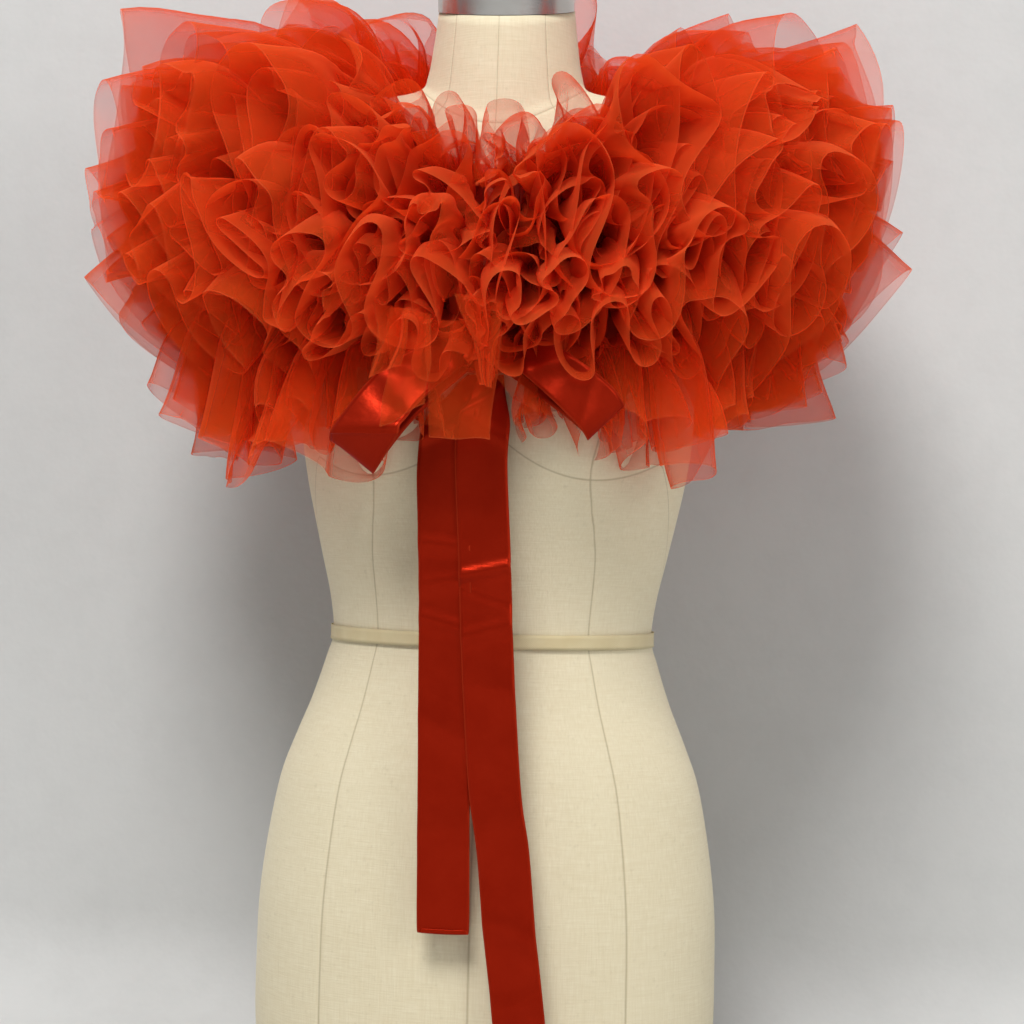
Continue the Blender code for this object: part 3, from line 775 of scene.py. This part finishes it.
all_points, all_faces, all_out, all_pale, area = [], [], [], [], 0.0
for number, (corners, above, below, folds) in enumerate(FLAPS):
    flap_random = np.random.default_rng(600 + number)
    across, down = np.meshgrid(np.linspace(0, 1, FLAP_STEPS), np.linspace(0, 1, FLAP_STEPS))
    place = between_corners(corners, across, down)
    wave = 2 * np.pi * folds * across + flap_random.uniform(0, 2 * np.pi) + 0.8 * down
    y = above + (below - above) * down + FLAP_FOLD * np.sin(wave) * (0.4 + FLAP_FALL * down)
    points = np.stack([place[..., 0], y, place[..., 1]], axis=-1)
    points += drift(points, FLAP_DRIFT_WAVE, flap_random) * FLAP_DRIFT
    all_faces.append(grid_faces(FLAP_STEPS, FLAP_STEPS) + number * FLAP_STEPS**2)
    all_points.append(points.reshape(-1, 3))
    raw = np.maximum(down, 1 - FLAP_RAW_SIDES * np.minimum(across, 1 - across))
    all_out.append(raw.ravel())
    shade = drift(points, FLAP_SHADE_WAVE, flap_random)[..., 0]
    uneven = 0.5 + 0.5 * np.clip(shade, -1, 1)
    # Painted shade: the pale mark deepens the colour away from the raw edges, with uneven tone
    all_pale.append((0.8 * raw**1.5 + 0.2 * uneven).ravel())
    wide = (math.dist(*corners[:2]) + math.dist(*corners[2:])) / 2
    area += wide * math.dist(corners[0], corners[3])
marks = {"out": np.concatenate(all_out), "pale": np.concatenate(all_pale)}
flaps = new_piece(
    "front_flaps_tulle", np.concatenate(all_points), np.concatenate(all_faces), [TULLE], marks
)
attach(flaps, "root")
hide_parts("ruffle_5_right")
round(area / FLAP_WIDTH, 3)

# The tie: 38 mm satin ribbon, sewn to both fronts and tied in a bow. Its ends hang free,
# one shorter than the other, and both are cut straight across.
RIBBON_WIDTH, SATIN_THICK, RIBBON_ACROSS, CREASE_DEPTH = 0.038, 0.0009, 12, 1.35


def satin_paint():
    """Polyester satin: smooth floats along the ribbon and a woven selvedge."""
    p = Paint("satin ribbon")
    where = p.node("ShaderNodeUVMap", {"uv_map": "cloth"})
    across = p.node("ShaderNodeSeparateXYZ", {}, where, output=1)
    floats = p.noise(1.0, 2.0, p.node("ShaderNodeMapping", {}, where, Scale=(160.0, 5200.0, 1.0)))
    picks = p.noise(1.0, 1.0, p.node("ShaderNodeMapping", {}, where, Scale=(3200.0, 260.0, 1.0)))
    cloudy = p.noise(38.0, 3.0)
    selvedge = ((abs(across) - (RIBBON_WIDTH / 2 - 0.0011)) * 2500.0).kept()
    base = p.mix(cloudy, (0.250, 0.0080, 0.0018), (0.340, 0.0150, 0.0040))
    base = p.mix(picks * 0.35, base, (0.22, 0.007, 0.002))
    base = p.mix(selvedge * 0.5, base, (0.46, 0.036, 0.010))
    rough = 0.25 + cloudy * 0.10 + selvedge * 0.2
    normal = p.bump(floats * 0.5 + picks * 0.5 + selvedge * 0.8, 0.00015, 0.5)
    normal = p.bump(p.noise(95.0, 2.0), 0.0010, 0.35, normal)
    return p.done(p.shine(
        base, rough, Metallic=0.5, Specular_IOR_Level=0.3, Specular_Tint=(1.0, 0.2, 0.08, 1.0),
        Normal=normal,
    ))


SATIN = satin_paint()


def ribbon_piece(name, node, edges, steps, creases=(), camber=0.0):
    """A strip of ribbon through pairs of points on its two edges.

    Each crease is a place along the ribbon, its slant, its depth and its width.
    """
    edges = np.asarray(edges, float)
    table = between(edges.reshape(len(edges), 6), np.linspace(0, len(edges) - 1, steps))
    low, high = table[:, None, :3], table[:, None, 3:]
    share = np.linspace(0, 1, RIBBON_ACROSS + 1)[:, None]
    cloth = low + (high - low) * share
    middle = cloth[:, RIBBON_ACROSS // 2]
    pieces = np.linalg.norm(np.diff(middle, axis=0), axis=1)
    along = np.concatenate([[0], np.cumsum(pieces)])[:, None]
    onward, over = np.gradient(cloth, axis=0), (high - low)
    normal = np.cross(onward, np.broadcast_to(over, onward.shape))
    normal /= np.maximum(np.linalg.norm(normal, axis=2, keepdims=True), 1e-9)
    offset = (share.T - 0.5)
    stand = camber * (1 - 4 * offset**2) + 0 * along
    for where, slant, depth, wide in creases:
        away = (along - where - slant * offset * RIBBON_WIDTH) / wide
        stand = stand + CREASE_DEPTH * depth * np.exp(-(away**2))
    cloth = cloth + normal * stand[..., None]
    uv = np.stack([along + 0 * offset, 0 * along + offset * RIBBON_WIDTH], axis=-1)
    piece = new_piece(name, cloth, grid_faces(steps, RIBBON_ACROSS + 1), [SATIN], uv=uv)
    wall = piece.modifiers.new("wall", "SOLIDIFY")
    wall.thickness, wall.offset = SATIN_THICK, 0.0
    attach(piece, "root")
    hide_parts(node)
    return piece, float(along[-1, 0])


# x, y, z and half the width of each hanging end's middle, from the knot down
SHORT_TIE = (
    (-0.0010, -0.1190, 0.5704, 0.0085),
    (-0.0100, -0.1240, 0.5550, 0.0130),
    (-0.0200, -0.1290, 0.5350, 0.0190),
    (-0.0245, -0.1300, 0.5050, 0.0190),
    (-0.0230, -0.1300, 0.4600, 0.0190),
    (-0.0210, -0.1295, 0.4100, 0.0190),
    (-0.0200, -0.1290, 0.3500, 0.0190),
    (-0.0190, -0.1285, 0.2900, 0.0190),
    (-0.0180, -0.1280, 0.2300, 0.0190),
    (-0.0170, -0.1275, 0.1730, 0.0190),
    (-0.0170, -0.1276, 0.1705, 0.0172),
)
LONG_TIE = (
    (0.0080, -0.1208, 0.5704, 0.0085),
    (0.0060, -0.1258, 0.5550, 0.0130),
    (0.0040, -0.1308, 0.5350, 0.0190),
    (0.0030, -0.1318, 0.5050, 0.0190),
    (0.0070, -0.1318, 0.4400, 0.0190),
    (0.0100, -0.1312, 0.3810, 0.0190),
    (0.0150, -0.1308, 0.3100, 0.0190),
    (0.0190, -0.1305, 0.2670, 0.0190),
    (0.0250, -0.1302, 0.2310, 0.0190),
    (0.0310, -0.1298, 0.1730, 0.0190),
    (0.0380, -0.1294, 0.1200, 0.0190),
    (0.0430, -0.1290, 0.0750, 0.0190),
)
# where along the ribbon, slant, depth and width
SHORT_CREASES = (
    (0.020, 0.6, 0.0016, 0.006), (0.044, -0.5, 0.0014, 0.005), (0.130, 0.10, 0.0012, 0.006),
    (0.156, -0.15, 0.0013, 0.007), (0.186, 0.25, 0.0014, 0.006), (0.262, 0.5, 0.0010, 0.009),
    (0.335, -0.3, 0.0010, 0.012),
)
LONG_CREASES = (
    (0.018, -0.6, 0.0016, 0.006), (0.040, 0.5, 0.0012, 0.006), (0.143, -0.22, 0.0021, 0.0045),
    (0.160, 0.30, -0.0012, 0.006), (0.186, -0.25, 0.0015, 0.006), (0.226, 0.15, 0.0010, 0.010),
    (0.330, -0.2, 0.0012, 0.014), (0.402, 0.3, 0.0011, 0.010), (0.455, -0.4, 0.0012, 0.012),
)
hanging = (
    ("short_tie_satin", "tie_tail_short", SHORT_TIE, SHORT_CREASES),
    ("long_tie_satin", "tie_tail_long", LONG_TIE, LONG_CREASES),
)
for name, node, route, creases in hanging:
    edges = [((x - half, y, z), (x + half, y, z)) for x, y, z, half in route]
    piece, length = ribbon_piece(name, node, edges, 260, creases, camber=-0.0008)

# low edge and high edge of the ribbon, out to where it folds over and back behind
LEFT_LOOP = (
    ((0.0150, -0.1290, 0.5735), (0.0150, -0.1290, 0.5925)),
    ((0.0299, -0.1500, 0.5714), (0.0430, -0.1480, 0.5960)),
    ((0.0524, -0.1650, 0.5537), (0.0735, -0.1610, 0.5788)),
    ((0.0736, -0.1665, 0.5333), (0.0968, -0.1610, 0.5613)),
    ((0.0805, -0.1600, 0.5235), (0.1055, -0.1560, 0.5485)),
    ((0.0740, -0.1540, 0.5320), (0.0990, -0.1520, 0.5570)),
    ((0.0500, -0.1500, 0.5500), (0.0720, -0.1480, 0.5740)),
    ((0.0150, -0.1260, 0.5740), (0.0150, -0.1260, 0.5910)),
)
RIGHT_LOOP = (
    ((-0.0070, -0.1280, 0.5740), (-0.0070, -0.1280, 0.5920)),
    ((-0.0127, -0.1500, 0.5728), (-0.0247, -0.1460, 0.5954)),
    ((-0.0339, -0.1680, 0.5508), (-0.0648, -0.1600, 0.5732)),
    ((-0.0480, -0.1780, 0.5330), (-0.0940, -0.1660, 0.5360)),
    ((-0.0498, -0.1785, 0.5262), (-0.1000, -0.1670, 0.5262)),
    ((-0.0525, -0.1760, 0.5215), (-0.1010, -0.1655, 0.5240)),
    ((-0.0690, -0.1590, 0.4985), (-0.1015, -0.1600, 0.5200)),
    ((-0.0680, -0.1530, 0.5030), (-0.0980, -0.1540, 0.5280)),
    ((-0.0430, -0.1480, 0.5370), (-0.0700, -0.1480, 0.5620)),
    ((-0.0070, -0.1255, 0.5740), (-0.0070, -0.1255, 0.5910)),
)
LOOP_CREASES = (
    (0.012, 0.9, 0.0016, 0.005), (0.026, -0.8, 0.0015, 0.006), (0.048, 0.7, 0.0012, 0.008),
    (0.085, -0.5, 0.0010, 0.008),
)
for name, node, edges, under in (
    ("left_loop_satin", "bow_loop_left", LEFT_LOOP, "ruffle_6_left_tulle"),
    ("right_loop_satin", "bow_loop_right", RIGHT_LOOP, "ruffle_6_right_tulle"),
):
    piece, length = ribbon_piece(name, node, edges, 150, LOOP_CREASES)

# The knot: the ribbon once round the loops' roots, drawn into soft upright creases. It is
# tied by hand and hidden under the sheer ends of the rows.
KNOT_CENTRE, KNOT_SIZE = (0.0040, -0.1214, 0.5830), (0.0260, 0.0200, 0.0280)
KNOT_ROUND, KNOT_ACROSS, KNOT_TAPER, KNOT_CREASE, KNOT_DENT = 72, 25, 0.55, 0.045, 0.02
turns, widths = np.meshgrid(
    np.linspace(0, 2 * np.pi, KNOT_ROUND + 1)[:-1], np.linspace(-1, 1, KNOT_ACROSS)
)
plump = np.sqrt(np.clip(1 - KNOT_TAPER * widths**2, 0, 1))
creased = KNOT_CREASE * np.sin(9 * widths + 1.3 * np.sin(turns))
plump = plump * (1 + creased + KNOT_DENT * np.sin(5 * turns))
knot_points = np.stack([
    KNOT_CENTRE[0] + KNOT_SIZE[0] / 2 * widths * (0.94 + 0.06 * np.cos(2 * turns)),
    KNOT_CENTRE[1] - KNOT_SIZE[1] / 2 * plump * np.cos(turns),
    KNOT_CENTRE[2] + KNOT_SIZE[2] / 2 * plump * np.sin(turns),
], axis=-1)
knot_uv = np.stack([turns * 0.012, widths * RIBBON_WIDTH / 2], axis=-1)
knot = new_piece(
    "knot_satin", knot_points, grid_faces(KNOT_ACROSS, KNOT_ROUND, closed=True)[:, ::-1],
    [SATIN], uv=knot_uv,
)
wall = knot.modifiers.new("wall", "SOLIDIFY")
wall.thickness, wall.offset = SATIN_THICK, -1.0
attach(knot, "root")
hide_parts("bow_knot")

# A plain pale floor that rises into a plastered wall close behind
SWEEP_START, SWEEP_RADIUS, SWEEP_TOP = 0.15, 0.10, 3.0
sweep = [(-4.0, 0.0), (SWEEP_START, 0.0)]
for i in range(1, 13):
    turn = math.pi / 2 * i / 12
    sweep.append((
        SWEEP_START + SWEEP_RADIUS * math.sin(turn), SWEEP_RADIUS * (1 - math.cos(turn))
    ))
sweep.append((SWEEP_START + SWEEP_RADIUS, SWEEP_TOP))
points = [(x, y, z) for y, z in sweep for x in (-4.0, 4.0)]
faces = grid_faces(len(sweep), 2)


def wall_paint():
    """Pale plaster. It is clear from behind, so that the form's back can be looked at."""
    p = Paint("pale wall")
    base = p.mix(p.noise(1.2, 1.0), (0.555, 0.555, 0.54), (0.625, 0.625, 0.61))
    mottled = ((p.noise(26.0, 3.0, rough=0.7) - 0.42) * 2.6).kept() * 0.16
    base = p.mix(mottled, base, (0.42, 0.42, 0.41))
    plaster = p.shine(base, 0.9, Normal=p.bump(p.noise(120.0, 1.0), 0.0012, 0.25))
    behind = p.node("ShaderNodeNewGeometry", output=6)
    clear = p.node("ShaderNodeBsdfTransparent")
    return p.done(p.node("ShaderNodeMixShader", {}, behind, plaster, clear))


floor = new_piece("floor", points, faces, [wall_paint()])

world = bpy.data.worlds.new("studio")
bpy.context.scene.world = world
world.use_nodes = True
world.node_tree.nodes["Background"].inputs["Color"].default_value = (0.93, 0.96, 1.0, 1.0)
world.node_tree.nodes["Background"].inputs["Strength"].default_value = 0.30


def soft_light(name, place, aim, size, power):
    """A round area light, turned to what it lights."""
    data = bpy.data.lights.new(name, "AREA")
    data.shape, data.size, data.energy = "DISK", size, power
    lamp = bpy.data.objects.new(name, data)
    lamp.location = place
    way = np.array(aim) - np.array(place)
    lean, turn = math.atan2(math.hypot(way[0], way[1]), -way[2]), math.atan2(way[1], way[0])
    lamp.rotation_euler = (lean, 0.0, turn - math.pi / 2)
    bpy.context.scene.collection.objects.link(lamp)


soft_light("key light", (-0.55, -2.76, 4.10), (0.0, 0.0, 0.5), 1.7, 184.0)
soft_light("fill light", (2.3, -2.3, 1.5), (0.0, 0.0, 0.4), 1.6, 22.0)

# The camera, level with the bust and a little to the form's left
VIEW_TURN, VIEW_DISTANCE, VIEW_HEIGHT = math.radians(5.5), 1.6, 0.4720
VIEW_SIDE, METRES_PER_PIXEL, VIEW_ROLL = 0.0133, 0.00078, math.radians(1.4)
camera_data = bpy.data.cameras.new("camera")
camera_data.sensor_width = 36.0
camera_data.lens = 36.0 * VIEW_DISTANCE / (METRES_PER_PIXEL * 1024)
camera = bpy.data.objects.new("camera", camera_data)
right = np.array([math.cos(VIEW_TURN), math.sin(VIEW_TURN), 0.0])
back = np.array([math.sin(VIEW_TURN), -math.cos(VIEW_TURN), 0.0])
camera.location = right * VIEW_SIDE + back * VIEW_DISTANCE + np.array([0, 0, VIEW_HEIGHT])
camera.rotation_euler = (math.pi / 2, -VIEW_ROLL, VIEW_TURN)
bpy.context.scene.collection.objects.link(camera)
bpy.context.scene.camera = camera
bpy.context.scene.view_settings.view_transform = "Standard"
bpy.context.scene.cycles.max_bounces = 6
bpy.context.scene.cycles.transparent_max_bounces = 8
bpy.context.scene.cycles.use_light_tree = False
